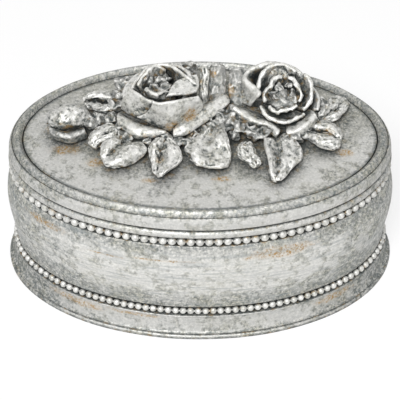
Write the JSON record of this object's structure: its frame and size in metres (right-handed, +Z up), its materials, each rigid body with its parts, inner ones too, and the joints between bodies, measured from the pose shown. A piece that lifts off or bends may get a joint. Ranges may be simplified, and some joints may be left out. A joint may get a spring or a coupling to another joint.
{
  "type": "oval keepsake box",
  "caption": "Oval lidded box on a flared foot, with beaded edges and a raised sprig of roses, a bud and leaves on its lift-off lid, for papers and keepsakes.",
  "frame": {"origin": "centre of the oval on the surface that the box stands on", "axes": "+X along the length towards the open rose, +Y across the width towards the back, +Z up"},
  "size_m": [0.13, 0.083, 0.0698],
  "materials": {
    "silver_moulding": "worn antique silver leaf over a cast body, speckled grey, ochre patina in the hollows",
    "silver_beads": "silver leaf rubbed bright on the beads, dark ochre patina between them",
    "silver_field": "matt grey silver leaf, stippled, browner towards the flowers",
    "silver_petals": "silver leaf burnished on the edges, ochre patina and near-black shade in the folds",
    "silver_leaves": "silver leaf burnished on the ridges, dark mottled patina in the veins",
    "black_felt": "short black felt"
  },
  "bodies": {
    "base": {"foot_ring": "silver_moulding", "base_shell": "silver_moulding", "base_rim": "silver_moulding", "foot_felt": "black_felt", "floor_lining": "black_felt", "lower_bead_row": "silver_beads", "upper_bead_row": "silver_beads"},
    "lid": {"bud_sepal_back": "silver_leaves", "bud_sepal_front": "silver_leaves", "bud_stem": "silver_leaves", "leaf_back_centre": "silver_leaves", "leaf_back_left": "silver_leaves", "leaf_back_right": "silver_leaves", "leaf_front_centre": "silver_leaves", "leaf_front_left": "silver_leaves", "leaf_front_middle_left": "silver_leaves", "leaf_front_right": "silver_leaves", "leaf_front_small": "silver_leaves", "leaf_left": "silver_leaves", "leaf_left_back": "silver_leaves", "leaf_left_small": "silver_leaves", "leaf_right": "silver_leaves", "leaf_right_back": "silver_leaves", "left_rose_cup_back": "silver_petals", "left_rose_cup_front": "silver_petals", "left_rose_cup_right": "silver_petals", "left_rose_heart": "silver_petals", "left_rose_inner_back": "silver_petals", "left_rose_inner_front": "silver_petals", "left_rose_inner_right": "silver_petals", "left_rose_outer_back_left": "silver_petals", "left_rose_outer_back_right": "silver_petals", "left_rose_outer_front_left": "silver_petals", "left_rose_outer_front_right": "silver_petals", "left_rose_seat": "silver_petals", "lid_lining": "black_felt", "lid_locating_ring": "silver_moulding", "lid_panel": "silver_field", "lid_rim": "silver_moulding", "right_rose_cup_front": "silver_petals", "right_rose_cup_left": "silver_petals", "right_rose_cup_right": "silver_petals", "right_rose_heart": "silver_petals", "right_rose_inner_front": "silver_petals", "right_rose_inner_left": "silver_petals", "right_rose_inner_right": "silver_petals", "right_rose_outer_back": "silver_petals", "right_rose_outer_back_left": "silver_petals", "right_rose_outer_front_left": "silver_petals", "right_rose_outer_front_right": "silver_petals", "right_rose_outer_right": "silver_petals", "right_rose_seat": "silver_petals", "rose_bud": "silver_petals", "sprig_mound": "silver_leaves", "upright_petal_centre": "silver_petals", "upright_petal_left": "silver_petals", "upright_petal_rib": "silver_petals", "upright_petal_right": "silver_petals"}
  },
  "joints": [
    {"name": "lid_lift", "type": "slide", "parent": "base", "child": "lid", "axis": [0, 0, 1], "range_m": [0, 0.06]}
  ]
}
